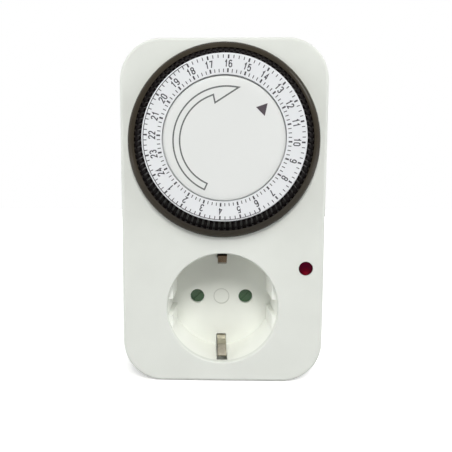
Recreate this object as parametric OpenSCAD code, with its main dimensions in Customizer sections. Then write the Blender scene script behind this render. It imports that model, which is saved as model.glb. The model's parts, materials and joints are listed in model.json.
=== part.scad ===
// Plug-in timer switch with a 24-hour segment dial, a socket on the front and a plug on the back.
// Row frame: X to the right, Y towards the wall, Z up, with the origin on the plug's axis where
// its two pins leave the plug face. Most modules are drawn in the face frame (see on_face): x to
// the right, y up, z out of the front face, so depths behind the face are negative.

/* [Case] */
// Width of the case
case_w = 70; // [69:0.5:76]
// Height of the case
case_h = 118; // [117.5:0.5:126]
// Depth of the case without its plug
case_depth = 36; // [35.5:0.5:44]
// Corner radius of the case seen from the front
case_corner_r = 14; // [11:0.5:16]
// Rounding of the front and rear edges
case_edge_r = 1.4; // [0.6:0.1:1.8]
// Thickness of the side and rear walls
wall = 2.2; // [1.8:0.1:2.4]
// Thickness of the front wall
front_wall = 2; // [1.6:0.1:2.2]
// Depth of the front cover, from its face to the parting line
front_depth = 26; // [25:0.5:28]
// Height of the lip inside the parting line
lip_h = 2; // [1.5:0.5:3]
// Thickness of that lip
lip_t = 1.1; // [0.8:0.1:1.4]
// Distance of a case screw from the two nearest sides
case_screw_inset = 7.8; // [7.4:0.1:8.2]
// Diameter of the case screws
case_screw_d = 2.6; // [2.4:0.1:3]
// Length of the case screws under the head
case_screw_len = 16; // [14:1:18]

/* [Socket] */
// Height of the socket centre above the lower edge
socket_up = 26.4; // [26:0.2:29]
// Diameter of the recess at the face
socket_d = 38.8; // [38.4:0.1:39.4]
// Depth of the recess floor below the face
socket_depth = 17.4; // [17:0.1:18]
// Wall of the socket well and thickness of its floor
well_wall = 1.6; // [1.4:0.1:1.8]
// Distance between the two side flats of the recess
flat_gap = 35; // [34.6:0.2:35.6]
// Height of the notch in the middle of each flat
notch_h = 5.8; // [5:0.2:6.4]
// Diameter of the pin holes in the recess floor
pin_hole_d = 5.5; // [5.3:0.1:5.9]
// Diameter of the moulded ring between the pin holes
floor_mark_d = 5.6; // [4.6:0.2:6]
// Inside diameter of the contact sleeves
sleeve_d = 4.9; // [4.86:0.01:4.94]
// Sheet thickness of the contact sleeves
sleeve_t = 0.6; // [0.5:0.05:0.65]
// Length of the contact sleeves
sleeve_len = 17; // [16:0.5:18]

/* [Plug] */
// Distance between the two plug pins
pin_pitch = 19; // [18.8:0.1:19.2]
// Diameter of the plug pins
pin_d = 4.8; // [4.6:0.1:4.8]
// Length of the plug pins outside the plug face
pin_len = 19; // [17:0.5:20]
// Diameter of the plug body
plug_d = 36.5; // [36.3:0.1:37]
// Depth of the plug body behind the case
plug_depth = 16.5; // [15.5:0.5:17]
// Wall of the plug body
plug_wall = 2.7; // [2.5:0.1:2.9]
// Thickness of the plug face
plug_face_t = 2.5; // [2:0.1:3]
// Width of the earth clips
earth_w = 3.2; // [2.8:0.1:3.4]
// Thickness of the earth clips
earth_t = 0.8; // [0.6:0.1:0.9]
// Distance of a clip's nose from the socket axis
earth_nose_r = 14.4; // [14:0.1:15]

/* [Dial] */
// Least gap from the dial's skirt to a side of the case
dial_side_gap = 2.8; // [2.6:0.1:3.2]
// Gap from the dial's skirt to the top of the case
dial_top_gap = 2; // [1.8:0.1:2.6]
// Least gap from the dial's skirt to the socket well
dial_low_gap = 4.2; // [3.6:0.1:4.6]
// Width of the dark ring round the printed ring
skirt_w = 5.8; // [5.6:0.1:6]
// Width of the printed ring
scale_w = 6.8; // [6.4:0.1:7]
// Height of the printed ring's top above the face
dial_h = 7.2; // [6.8:0.1:8]
// Thickness of the printed ring
scale_t = 0.8; // [0.6:0.1:1]
// Height of the centre disc's top above the face
cap_h = 7; // [6.6:0.1:7.4]
// Thickness of the centre disc at its rim
cap_t = 1; // [0.8:0.1:1.2]
// Width of the centre disc's rounded rim
cap_edge_w = 2.2; // [1.6:0.2:2.6]
// Gap round the centre disc
cap_gap = 0.3; // [0.25:0.05:0.4]
// Height of the skirt's upper edge above the face
skirt_h = 2.3; // [2:0.1:2.6]
// Gap under the skirt
skirt_gap = 0.3; // [0.2:0.05:0.4]
// Depth that the dial reaches behind the face
carrier_depth = 6.4; // [6:0.1:7]
// Quarter-hour segments round the dial
segment_count = 96; // [96]
// Share of its pitch that a segment fills
segment_share = 0.64; // [0.56:0.01:0.66]
// Travel of a segment
segment_travel = 2.5; // [2:0.1:2.6]
// Play of a segment in its slot, on each side
segment_play = 0.1; // [0.08:0.01:0.12]
// Angle of the time pointer, anticlockwise from the right
pointer_angle = 39; // [36:1:42]
// Radius of the dial post
post_r = 4; // [3.8:0.1:4.4]
// Running play of wheels on posts and pins
running_play = 0.06; // [0.04:0.01:0.08]

/* [Movement] */
// Teeth of the drive gear
drive_teeth = 66; // [66]
// Teeth of the idler's pinion
idler_pinion_teeth = 14; // [14]
// Teeth of the idler's wheel
idler_wheel_teeth = 42; // [42]
// Teeth of the motor pinion
motor_teeth = 14; // [14]
// Thickness of the drive gear
drive_t = 1.8; // [1.4:0.1:2]
// Thickness of the idler's wheel
idler_t = 1.6; // [1.2:0.1:1.8]
// Thickness of the movement plate
plate_t = 2; // [1.6:0.1:2.4]
// Diameter of the motor can, as a share of the dial's radius
motor_d_share = 1; // [0.88:0.01:1.02]
// Room for the wires behind the motor can
motor_room = 6.7; // [6:0.1:8]
// Radius of the idler pin and of the motor shaft
axle_r = 1; // [0.8:0.1:1.1]
// Radius of the pins of the switch
switch_pin_r = 0.8; // [0.6:0.1:0.9]

/* [Switch] */
// Width of the switch lever
lever_w = 3; // [2.6:0.1:3.4]
// Thickness of the switch lever
lever_t = 1.2; // [1:0.1:1.4]
// Thickness of the contact blade
blade_t = 0.5; // [0.4:0.05:0.6]
// Travel of the override slider
slider_travel = 4; // [3:0.5:4.5]
// Length of the override slider's button
slider_len = 8; // [7:0.5:9]
// Width of the override slider's button
slider_w = 4; // [3.4:0.2:4.4]
// Height of the button above the side of the case
slider_proud = 1.2; // [0.8:0.1:1.6]
// Diameter of the insulated wires
wire_d = 1.6; // [1.2:0.1:1.6]
// Diameter of the indicator lens
lens_d = 4.8; // [4.4:0.1:5.2]
// Distance of the lens from the right side of the case
lens_inset = 6.4; // [6.2:0.1:7]
// Distance of the lens above the socket centre
lens_y = 14.4; // [12:0.2:15]

/* [Hidden] */
$fn = 72;

// Colours
shell_grey = [0.86, 0.87, 0.85];
scale_white = [0.93, 0.93, 0.93];
dial_brown = [0.11, 0.08, 0.08];
segment_brown = [0.16, 0.12, 0.12];
shutter_green = [0.16, 0.26, 0.18];
lamp_red = [0.4, 0.02, 0.08];
base_cream = [0.85, 0.82, 0.72];
gear_white = [0.9, 0.9, 0.86];
steel = [0.72, 0.72, 0.74];
brass = [0.78, 0.66, 0.38];
copper = [0.8, 0.5, 0.35];

// General clearances
fit_gap = 0.15;
move_gap = 0.3;

// Depths, with the face at 0 and everything behind it negative
face_y = -(plug_depth + case_depth);
case_back = -case_depth;
inner_back = case_back + wall;
parting = -front_depth;
plug_face_h = case_back - plug_depth;
case_mid = case_h / 2 - socket_up;
inner_corner_r = case_corner_r - wall;
screw_x = case_w / 2 - case_screw_inset;
screw_top = case_h - socket_up - case_screw_inset;
screw_low = case_screw_inset - socket_up;
case_boss_r = case_screw_d / 2 + 1.7;

// Socket
socket_r = socket_d / 2;
well_r = socket_r + well_wall;
well_back = -(socket_depth + well_wall);
pin_x = pin_pitch / 2;
sleeve_r = sleeve_d / 2 + sleeve_t;
shutter_t = 2;
shutter_top = well_back - 0.2;
shutter_back = shutter_top - shutter_t;
shutter_swing = 40;
pad_r = pin_hole_d / 2 + 0.75;
base_top = shutter_back - 0.4;
sleeve_top = base_top - 0.4;
sleeve_back = sleeve_top - sleeve_len;
base_back = sleeve_back;
tab_t = 0.8;
tab_reach = sleeve_r + 5;
live_root = sleeve_back - tab_t - 0.8;
neck_r = pin_d / 2 + 0.3;
root_flat = 1;
collar_t = 1.4;
ledge_r = norm([pin_x, 0]) + sleeve_r + 1.7;
base_half_w = plug_d / 2 - plug_wall - 1;
base_half_h = sleeve_r + 3;
pivot_r = 1.5;
earth_r = plug_d / 2 - 1.2;
earth_slot_w = earth_w + 2 * move_gap;
earth_slot_r = earth_nose_r + 0.8;
earth_root_r = earth_slot_r + move_gap + earth_t / 2;

// Dial
dial_room = case_h - socket_up - dial_top_gap;
dial_r = min(case_w / 2 - dial_side_gap, (dial_room - well_r - dial_low_gap) / 2);
dial_up = dial_room - dial_r;
scale_r = dial_r - skirt_w;
drum_r = scale_r - 0.2;
slot_out_r = drum_r + 3.5;
tube_r = slot_out_r + 0.7;
dial_hole_r = tube_r + move_gap;
scale_seat = dial_h - scale_t;
cap_r = scale_r - scale_w;
scale_in_r = cap_r + cap_gap;
cap_back = cap_h - cap_t;
cap_edge_h = cap_t / 2;
post_top = cap_back - 1;
web_t = 1.8;
web_top = cap_back - 1.1;
lip_top = cap_back - move_gap;
lip_w = 2.6;
step = 360 / segment_count;
hour_step = 15;
hour_zero = -152.8;
segment_t = segment_share * 2 * PI * drum_r / segment_count;
slot_w = segment_t + 2 * segment_play;
foot_t = 0.5;
segment_back = -(carrier_depth + 0.2 + foot_t);
segment_low = segment_back - segment_travel;
segment_foot_r = drum_r - 1.1;

// Movement levels, from the dial towards the wall
washer_t = 0.9;
drive_top = -(carrier_depth + washer_t + 0.2);
drive_back = drive_top - drive_t;
idler_top = min(drive_back, segment_low) - 0.5;
idler_back = idler_top - idler_t;
plate_top = idler_back - 0.4;
plate_back = plate_top - plate_t;
motor_back = inner_back + motor_room;

// Gears, sized to fit behind the dial. The drive gear turns about the dial post.
gear_module = round(dial_r * 1.56) / 100;
drive_pitch_r = gear_module * drive_teeth / 2;
idler_pinion_r = gear_module * idler_pinion_teeth / 2;
idler_wheel_r = gear_module * idler_wheel_teeth / 2;
motor_pitch_r = gear_module * motor_teeth / 2;
idler_dir = 200;
motor_dir = 80;
can_dir = 20;
terminal_dir = -50;
wire_low = inner_back + 6.3;
wire_bend = 2;
dial_c = [0, dial_up];
idler_c = dial_c + (drive_pitch_r + idler_pinion_r) * [cos(idler_dir), sin(idler_dir)];
motor_c = idler_c + (idler_wheel_r + motor_pitch_r) * [cos(motor_dir), sin(motor_dir)];
can_c = motor_c + 0.28 * dial_r * [cos(can_dir), sin(can_dir)];
motor_r = dial_r * motor_d_share / 2;

// Plate bosses, clear of the dial and of the case screws
plate_boss_r = 2.6;
plate_screw_r = 1.1;
boss_reach = case_w / 2 - wall - plate_boss_r - 0.8;
boss_top = [case_w / 2 - 13, case_h - socket_up - 5.1];
boss_low = [boss_reach, dial_up - dial_r + 6.2];
plate_bosses = [boss_top, [-boss_top[0], boss_top[1]], boss_low, [-boss_low[0], boss_low[1]]];

// Switch, below the dial's tails at the time pointer
nose_r = (segment_foot_r + slot_out_r) / 2;
nose_c = dial_c + nose_r * [cos(pointer_angle), sin(pointer_angle)];
nose_top = segment_back - move_gap;
base_x = nose_c[0];
switch_wall = 1.4;
switch_half = lever_w / 2 + 1.8;
switch_low = nose_c[1] - 31.3;
switch_high = nose_c[1] + 4;
lever_pivot = [nose_c[1] - 28, plate_back - 1.8];
bar_top = lever_pivot[1] + lever_t / 2;
push_y = nose_c[1] - 12.5;
push_low = bar_top - 3;
blade_top = push_low - move_gap;
blade_pivot = [nose_c[1] - 25.5, blade_top - blade_t / 2];
rivet_y = nose_c[1] - 2.5;
rivet_h = 0.8;
rivet_r = 0.9;
fixed_top = blade_top - blade_t - rivet_h - 2.75;
switch_floor = fixed_top - 1.6;
switch_back = switch_floor - switch_wall;
spring_y = nose_c[1] - 18.5;

// Override slider in the right side wall
side_x = case_w / 2;
slider_c = [dial_up + 3, -20];
rail_x = side_x - wall - 2.2;

// Positions of the lamp
lens_c = [side_x - lens_inset, lens_y];
lens_r = lens_d / 2;
holder_back = -9;
lamp_r = 1.9;
lamp_back = holder_back - 3;
resistor_back = lamp_back - 8;

module on_face() {
  translate([0, face_y, 0]) rotate([90, 0, 0]) children();
}

// Places a child at a point of the face plane, h in front of the face
module at(p, h) {
  translate([p[0], p[1], h]) children();
}

// Round bar between two depths
module bar(r, low, high) {
  translate([0, 0, low]) cylinder(r = r, h = high - low);
}

// Ring between two radii and two depths
module ring(r_out, r_in, low, high) {
  difference() {
    bar(r_out, low, high);
    bar(r_in, low - 1, high + 1);
  }
}

// Box given by its lowest and highest corners
module span(low, high) {
  translate(low) cube(high - low);
}

// Profile in the radius and depth plane, turned about the socket or dial axis
module turned(points) {
  rotate_extrude($fn = 180) polygon(points);
}

// Profile in the plane of y and z, drawn out to a width across x
module across(width) {
  translate([-width / 2, 0, 0]) rotate([90, 0, 90]) linear_extrude(height = width) children();
}

// Arc of points about c, used to round profiles
function arc(c, r, from, to, n = 8) =
  [for (i = [0:n]) let (a = from + (to - from) * i / n) c + r * [cos(a), sin(a)]];

// Outline of a strip of sheet metal with its middle line through the given points
function unit(v) = v / norm(v);
function left_of(v) = [-v[1], v[0]];
function strip_normal(p, i) =
  let (a = i > 0 ? unit(p[i] - p[i - 1]) : unit(p[1] - p[0]),
       b = i < len(p) - 1 ? unit(p[i + 1] - p[i]) : a,
       m = unit(a + b))
  left_of(m) / (m * b);
function strip(p, t) = concat(
  [for (i = [0:len(p) - 1]) p[i] + strip_normal(p, i) * t / 2],
  [for (i = [len(p) - 1:-1:0]) p[i] - strip_normal(p, i) * t / 2]);

// Closed rounded box from its front or rear face inwards, with that face's edge rounded.
// The face lies at z = 0 and the box reaches down to -depth.
module rounded_block(w, h, corner_r, edge_r, depth) {
  edge = arc([-edge_r, -edge_r], edge_r, 90, 0);
  for (x = [-1, 1], y = [-1, 1])
    translate([x * (w / 2 - corner_r), y * (h / 2 - corner_r), 0])
      rotate_extrude($fn = 96)
        polygon(concat([[0, 0]], [for (p = edge) [corner_r + p[0], p[1]]],
                       [[corner_r, -depth], [0, -depth]]));
  rotate([90, 0, 0])
    linear_extrude(height = h - 2 * corner_r, center = true)
      block_profile(w, edge, depth);
  rotate([90, 0, 90])
    linear_extrude(height = w - 2 * corner_r, center = true)
      block_profile(h, edge, depth);
}

module block_profile(w, edge, depth) {
  polygon(concat([for (p = edge) [w / 2 + p[0], p[1]]],
                 [[w / 2, -depth], [-w / 2, -depth]],
                 [for (i = [len(edge) - 1:-1:0]) [-w / 2 - edge[i][0], edge[i][1]]]));
}

// Prism with four rounded upright edges
module rounded_prism(w, h, corner_r, low, high) {
  for (x = [-1, 1], y = [-1, 1])
    translate([x * (w / 2 - corner_r), y * (h / 2 - corner_r), 0]) bar(corner_r, low, high);
  span([-w / 2, corner_r - h / 2, low], [w / 2, h / 2 - corner_r, high]);
  span([corner_r - w / 2, -h / 2, low], [w / 2 - corner_r, h / 2, high]);
}

module at_case_screws() {
  for (x = [-screw_x, screw_x], y = [screw_low, screw_top])
    translate([x, y, 0]) children();
}

module at_plate_bosses() {
  for (p = plate_bosses) at(p, 0) children();
}

// ---- Case ----

module front_shell() {
  translate([0, case_mid, 0]) difference() {
    rounded_block(case_w, case_h, case_corner_r, case_edge_r, front_depth);
    rounded_prism(case_w - 2 * wall, case_h - 2 * wall, inner_corner_r, parting - 1, -front_wall);
  }
}

// Countersink that softens the rim of the recess
module rim_round() {
  r = 0.5;
  turned(concat([[0, 1], [socket_r + r, 1]], arc([socket_r + r, -r], r, 90, 180, 6),
                [[0, -r]]));
}

module front_cover() on_face() color(shell_grey) difference() {
  union() {
    front_shell();
    at_case_screws() bar(case_boss_r, parting, -front_wall);
    at_plate_bosses() bar(plate_boss_r, plate_top, -front_wall);
  }
  bar(socket_r, -front_wall - 1, 1);
  rim_round();
  at(dial_c, 0) bar(dial_hole_r, -front_wall - 1, 1);
  at(lens_c, 0) bar(lens_r + 0.05, -front_wall - 1, 1);
  at_case_screws() bar(case_screw_d / 2, parting - 1, parting + case_screw_len - 4);
  at_plate_bosses() bar(plate_screw_r, plate_top - 1, -front_wall - 1);
  slider_slot();
}

module slider_slot() {
  half_h = slider_w / 2 + fit_gap;
  span([side_x - wall - 1, slider_c[0] - slider_len / 2 - fit_gap, slider_c[1] - half_h],
       [side_x + 1, slider_c[0] + slider_len / 2 + slider_travel + fit_gap, slider_c[1] + half_h]);
}

module rear_shell() {
  translate([0, case_mid, 0]) difference() {
    translate([0, 0, case_back]) mirror([0, 0, 1])
      rounded_block(case_w, case_h, case_corner_r, case_edge_r, case_depth - front_depth);
    rounded_prism(case_w - 2 * wall, case_h - 2 * wall, inner_corner_r, inner_back, parting + 1);
  }
}

// Lip that centres the two covers on each other
module lip() {
  w = case_w - 2 * wall - 2 * fit_gap;
  h = case_h - 2 * wall - 2 * fit_gap;
  r = inner_corner_r - fit_gap;
  difference() {
    translate([0, case_mid, 0]) difference() {
      rounded_prism(w, h, r, inner_back, parting + lip_h);
      rounded_prism(w - 2 * lip_t, h - 2 * lip_t, r - lip_t, inner_back - 1, parting + lip_h + 1);
    }
    at_case_screws() bar(case_boss_r + fit_gap, parting, parting + lip_h + 1);
    span([rail_x - 1, slider_c[0] - 20, parting], [side_x, slider_c[0] + 20, parting + lip_h + 1]);
  }
}

screw_head_r = case_screw_d + 0.2;
screw_head_h = 2;
screw_seat = parting - 4;

module plug_shell() {
  difference() {
    bar(plug_d / 2, plug_face_h, inner_back);
    bar(plug_d / 2 - plug_wall, base_back, 1);
    bar(ledge_r, plug_face_h + plug_face_t, 1);
    for (s = [-1, 1]) plug_side(s);
  }
}

// Flat on one side of the plug body, with the rib that enters the socket's notch
module plug_side(s) {
  flat = flat_gap / 2 - 0.3;
  rib = notch_h / 2 - 0.4;
  for (t = [-1, 1])
    scale([s, t, 1]) span([flat, rib, plug_face_h - 1], [plug_d, plug_d, case_back]);
}

module rear_cover() on_face() color(shell_grey) difference() {
  union() {
    difference() {
      union() {
        rear_shell();
        lip();
        at_case_screws() bar(screw_head_r + 1.3, inner_back, parting);
      }
      bar(plug_d / 2 - plug_wall, case_back - 1, inner_back + 1);
    }
    plug_shell();
  }
  at_case_screws() {
    bar(screw_head_r, case_back - 1, screw_seat);
    bar(case_screw_d / 2 + 0.4, case_back - 1, parting + 1);
  }
  for (x = [-pin_x, pin_x]) translate([x, 0, 0]) bar(neck_r, plug_face_h - 1, plug_face_h + 9);
  for (s = [0, 180]) rotate([0, 0, s]) {
    half = earth_slot_w / 2;
    span([-half, earth_r - 0.5, plug_face_h + 1.6], [half, plug_d / 2 + 0.1, case_back]);
    span([-half, earth_r - 0.5, case_back - 1], [half, earth_r + 1.1, inner_back + 1]);
  }
}

module case_screws() on_face() color(steel) at_case_screws() difference() {
  union() {
    bar(case_screw_d / 2, screw_seat, screw_seat + case_screw_len);
    bar(screw_head_r - 0.3, screw_seat - screw_head_h, screw_seat);
  }
  for (a = [0, 90]) rotate([0, 0, a])
    span([-1.7, -0.35, screw_seat - screw_head_h - 1], [1.7, 0.35, screw_seat - 0.8]);
}

// ---- Socket ----

module socket_well() on_face() color(shell_grey) difference() {
  union() {
    bar(well_r, well_back, -front_wall);
    ring(well_r + 2.4, well_r - 0.5, -front_wall - 1.6, -front_wall);
  }
  difference() {
    bar(socket_r, -socket_depth, 1);
    for (s = [-1, 1], t = [-1, 1])
      scale([s, t, 1])
        span([flat_gap / 2, notch_h / 2, -socket_depth - 1], [socket_r, socket_r, -front_wall + 1]);
  }
  for (x = [-pin_x, pin_x]) translate([x, 0, 0]) bar(pin_hole_d / 2, well_back - 1, 0);
  for (s = [0, 180]) rotate([0, 0, s])
    span([-earth_slot_w / 2, earth_slot_r, well_back - 1],
         [earth_slot_w / 2, well_r + 3, -front_wall - 0.4]);
  ring(floor_mark_d / 2 + 0.15, floor_mark_d / 2 - 0.15, -socket_depth - 0.2, -socket_depth + 1);
}

module shutter() on_face() color(shutter_green) difference() {
  union() {
    bar(pivot_r + 2, shutter_back, shutter_top);
    span([-pin_x, -2.6, shutter_back], [pin_x, 2.6, shutter_top - 0.4]);
    for (x = [-pin_x, pin_x]) translate([x, 0, 0]) bar(pad_r, shutter_back, shutter_top);
  }
  bar(pivot_r + running_play, shutter_back - 1, shutter_top + 1);
  for (s = [0, 180]) rotate([0, 0, s]) translate([pin_x, 0, shutter_top])
    rotate([0, 0, 45]) translate([0, 0, 0.1]) rotate([0, 90, 0])
      cylinder(r = 0.45, h = 2 * pad_r, center = true);
}

// Torsion spring round the shutter's pivot, in a pocket of the contact base
spring_wire = 0.4;
spring_coil_r = pivot_r + 0.7;
module shutter_spring() on_face() color(steel) {
  coil(spring_coil_r, spring_wire, 0.6, 3, base_top - 2.15);
}

// Round wire wound on a helix, as one closed tube
function helix_point(r, pitch, a) = [r * cos(a), r * sin(a), pitch * a / 360];
module coil(r, wire, pitch, turns, low, sides = 8, steps = 16) {
  n = turns * steps;
  rise = atan2(pitch, 2 * PI * r);
  points = [for (i = [0:n]) let (a = i * 360 / steps, c = helix_point(r, pitch, a))
    for (j = [0:sides - 1]) let (b = j * 360 / sides, u = wire / 2 * cos(b), v = wire / 2 * sin(b))
      c + [u * cos(a) + v * sin(rise) * sin(a), u * sin(a) - v * sin(rise) * cos(a), v * cos(rise)]];
  walls = [for (i = [0:n - 1], j = [0:sides - 1]) let (k = (j + 1) % sides)
    [i * sides + j, i * sides + k, (i + 1) * sides + k, (i + 1) * sides + j]];
  start = [for (j = [sides - 1:-1:0]) j];
  end = [for (j = [0:sides - 1]) n * sides + j];
  translate([0, 0, low + wire / 2]) polyhedron(points, concat([start, end], walls));
}

module contact_base() on_face() color(base_cream) difference() {
  union() {
    rounded_prism(2 * base_half_w, 2 * base_half_h, 3, base_back, base_top);
    bar(pivot_r, base_top - 2.4, well_back);
  }
  difference() {
    bar(pivot_r + 1.3, base_top - 2.2, base_top + 1);
    bar(pivot_r, base_top - 3, base_top + 2);
  }
  for (x = [-pin_x, pin_x]) translate([x, 0, 0]) {
    bar(sleeve_r + 0.1, base_back - 1, sleeve_top + 0.1);
    bar(pin_hole_d / 2, sleeve_top - 1, base_top + 1);
  }
}

// Split sleeve that grips a pin, closed at its rear by a disc
module sleeve() difference() {
  union() {
    ring(sleeve_r, sleeve_d / 2, sleeve_back, sleeve_top);
    bar(sleeve_r + 1.4, sleeve_back - tab_t, sleeve_back);
    span([-2, -tab_reach, sleeve_back - tab_t], [2, tab_reach, sleeve_back]);
  }
  span([-0.5, sleeve_d / 2 - 0.7, sleeve_back + 4], [0.5, sleeve_r + 1, sleeve_top + 1]);
}

module contact_sleeves() on_face() color(brass) for (x = [-pin_x, pin_x]) translate([x, 0, 0]) sleeve();

// Plug pin with a thicker neck in the plug face and a collar behind it
module plug_pin(root) {
  collar = plug_face_h + plug_face_t;
  tip = plug_face_h - pin_len;
  r = pin_d / 2;
  root_r = 1.4;
  difference() {
    turned(concat([[0, tip]], arc([r - 1, tip + 1], 1, 270, 360, 5),
                  [[r, plug_face_h], [neck_r, plug_face_h], [neck_r, collar],
                   [r + 1.2, collar], [r + 1.2, collar + collar_t],
                   [root_r, collar + collar_t], [root_r, root], [0, root]]));
    span([-root_r, root_flat, collar + collar_t + 1], [root_r, root_r + 1, root + 1]);
  }
}

// The neutral pin touches its contact sleeve; the live pin stops short of the other one
module plug_pins() on_face() color(steel) {
  translate([pin_x, 0, 0]) plug_pin(live_root);
  translate([-pin_x, 0, 0]) plug_pin(sleeve_back - tab_t);
}

// Side view of one earth clip, from the socket's nose to the plug's side contact
clip_line = [[earth_r + 1.4, -3.6], [earth_nose_r + 1.2, -7], [earth_nose_r + earth_t / 2, -9.2],
             [earth_nose_r + 0.9, -11], [earth_root_r, -13], [earth_root_r, well_back - 0.6],
             [earth_r, well_back - 2.6], [earth_r, inner_back],
             [earth_r, case_back - 2], [earth_r + 0.7, case_back - 8],
             [earth_r, plug_face_h + 2.6]];

module earth_strap() on_face() color(brass) {
  for (s = [0, 180]) rotate([0, 0, s]) across(earth_w) polygon(strip(clip_line, earth_t));
  bridge = inner_back;
  difference() {
    ring(earth_r + earth_t / 2, earth_r - earth_t / 2 - 1.2, bridge, bridge + earth_t);
    span([0.1, -plug_d, bridge - 1], [plug_d, plug_d, bridge + 2]);
  }
}

// ---- Dial ----

module dial_ring_profile() {
  skirt = arc([dial_r - 1.6, skirt_gap + 0.2], 1.6, 0, 62, 6);
  turned(concat(
    [[drum_r - 1.8, -carrier_depth], [drum_r + 0.6, -carrier_depth],
     [tube_r, -carrier_depth], [tube_r, skirt_gap], [dial_r, skirt_gap]],
    skirt,
    [[slot_out_r, skirt_h], [slot_out_r - 0.4, skirt_h], [drum_r + 0.5, scale_seat - 0.3],
     [drum_r, scale_seat], [scale_in_r + 0.4, scale_seat], [scale_in_r + 0.4, web_top],
     [scale_in_r + 0.4, web_top - web_t], [drum_r - 1.8, web_top - web_t - 1]]));
}

module dial_carrier() on_face() color(dial_brown) at(dial_c, 0) difference() {
  union() {
    dial_ring_profile();
    ring(scale_in_r + 1, post_r + 1, web_top - web_t, web_top);
    ring(post_r + 3, post_r + running_play, -carrier_depth, web_top);
    for (a = [0:60:300]) rotate([0, 0, a])
      span([post_r + 2, -0.6, -2], [drum_r - 1, 0.6, web_top - 1]);
  }
  for (i = [0:segment_count - 1]) rotate([0, 0, hour_zero + (i + 0.5) * step])
    span([drum_r, -slot_w / 2, -carrier_depth - 1], [slot_out_r, slot_w / 2, scale_seat]);
}

// Printed ring with a lip that closes the gap round the centre disc
module time_scale() on_face() color(scale_white) at(dial_c, 0) turned([
  [cap_r - lip_w, web_top], [scale_in_r + 0.3, web_top], [scale_in_r + 0.3, scale_seat],
  [scale_r, scale_seat], [scale_r, dial_h - 0.25], [scale_r - 0.25, dial_h],
  [scale_in_r, dial_h], [scale_in_r, lip_top], [cap_r - lip_w, lip_top]]);

// One captive segment: a flank to push, a stem in its slot and a foot that keeps it there
module segment() {
  play = segment_play;
  across_tangent(segment_t) polygon([
    [segment_foot_r, segment_back], [slot_out_r - play, segment_back],
    [slot_out_r - play, skirt_h - 0.2], [slot_out_r - 0.5, skirt_h + 0.6],
    [drum_r + 1.2, scale_seat - 0.1], [drum_r + 0.9, scale_seat + 0.3],
    [drum_r + 0.5, scale_seat + 0.3], [drum_r + play, scale_seat - 0.4],
    [drum_r + play, segment_back + foot_t], [segment_foot_r, segment_back + foot_t]]);
}

// Profile in the plane of radius and depth, drawn out to a width along the tangent
module across_tangent(width) {
  rotate([90, 0, 0]) linear_extrude(height = width, center = true) children();
}

module segment_group(hour) on_face() color(segment_brown) at(dial_c, 0)
  for (q = [0:3]) rotate([0, 0, hour_zero + hour_step * hour + (q + 0.5) * step]) segment();

module centre_cap() on_face() color(scale_white) at(dial_c, 0) {
  rim = [for (p = arc([0, 0], 1, 0, 90, 8))
    [cap_r - cap_edge_w * (1 - p[0]), cap_h - cap_edge_h * (1 - p[1])]];
  turned(concat([[0, cap_back - 1], [post_r, cap_back - 1], [post_r, cap_back],
                 [cap_r, cap_back]], rim, [[0, cap_h]]));
  bar(post_r - 2, -2, cap_back);
}

module dial_post() on_face() color(steel) at(dial_c, 0) difference() {
  union() {
    bar(post_r, plate_top, post_top);
    bar(post_r + 3, plate_top, drive_back - 0.1);
    bar(post_r - 1, plate_back, plate_top);
  }
  bar(post_r - 2, -2.4, post_top + 1);
}

// ---- Gear train ----

// Involute tooth outline in polar steps: radius against half the tooth's angle
function inv(a) = tan(a) * 180 / PI - a;
function tooth_half(r, rb, pitch_r, thin) =
  let (a = r > rb ? acos(rb / r) : 0)
  90 * gear_module / (2 * pitch_r) * 1 - thin / pitch_r * 180 / PI + inv(20) - inv(a);

gear_thin = 0.05;
module gear_2d(teeth) {
  pitch_r = gear_module * teeth / 2;
  rb = pitch_r * cos(20);
  tip = pitch_r + 0.8 * gear_module;
  root = pitch_r - 1.1 * gear_module;
  low = max(rb, root);
  radii = [low, (low + pitch_r) / 2, pitch_r, (pitch_r + tip) / 2, tip];
  halves = [for (r = radii) tooth_half(r, rb, pitch_r, gear_thin)];
  polygon([for (i = [0:teeth - 1]) let (c = i * 360 / teeth)
    each concat(
      [root * [cos(c - halves[0]), sin(c - halves[0])]],
      [for (k = [0:4]) radii[k] * [cos(c - halves[k]), sin(c - halves[k])]],
      [for (k = [4:-1:0]) radii[k] * [cos(c + halves[k]), sin(c + halves[k])]],
      [root * [cos(c + halves[0]), sin(c + halves[0])]])]);
}

module gear(teeth, low, high) {
  translate([0, 0, low]) linear_extrude(height = high - low) gear_2d(teeth);
}

// Wave washer that lets the dial slip on its gear when it is set by hand
module clutch_washer() on_face() color(steel) at(dial_c, 0)
  ring(post_r + 2.6, post_r + running_play, drive_top + 0.05, drive_top + washer_t + 0.1);

module drive_gear() on_face() color(gear_white) at(dial_c, 0) difference() {
  rotate([0, 0, idler_dir]) gear(drive_teeth, drive_back, drive_top);
  bar(post_r + running_play, drive_back - 1, drive_top + 1);
  for (a = [0:60:300]) rotate([0, 0, a]) translate([drive_pitch_r * 0.62, 0, 0])
    bar(2.6, drive_back - 1, drive_top + 1);
}

module idler_gear() on_face() color(gear_white) at(idler_c, 0) difference() {
  union() {
    rotate([0, 0, idler_dir + 180 + 180 / idler_pinion_teeth])
      gear(idler_pinion_teeth, idler_top - 0.1, drive_top + 0.2);
    rotate([0, 0, motor_dir]) gear(idler_wheel_teeth, idler_back, idler_top);
  }
  bar(axle_r + running_play, idler_back - 1, drive_top + 1);
}

module idler_pin() on_face() color(steel) at(idler_c, 0) {
  bar(axle_r, plate_back, drive_top + 0.9);
  bar(axle_r + 0.8, plate_top, idler_back - 0.1);
  bar(axle_r + 0.7, drive_top + 0.3, drive_top + 0.9);
}

module motor_pinion() on_face() color(gear_white) at(motor_c, 0) {
  rotate([0, 0, motor_dir + 180 + 180 / motor_teeth])
    gear(motor_teeth, idler_back - 0.1, idler_top - 0.1);
  bar(axle_r, motor_back + 3, idler_back);
}

// ---- Motor ----

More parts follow.
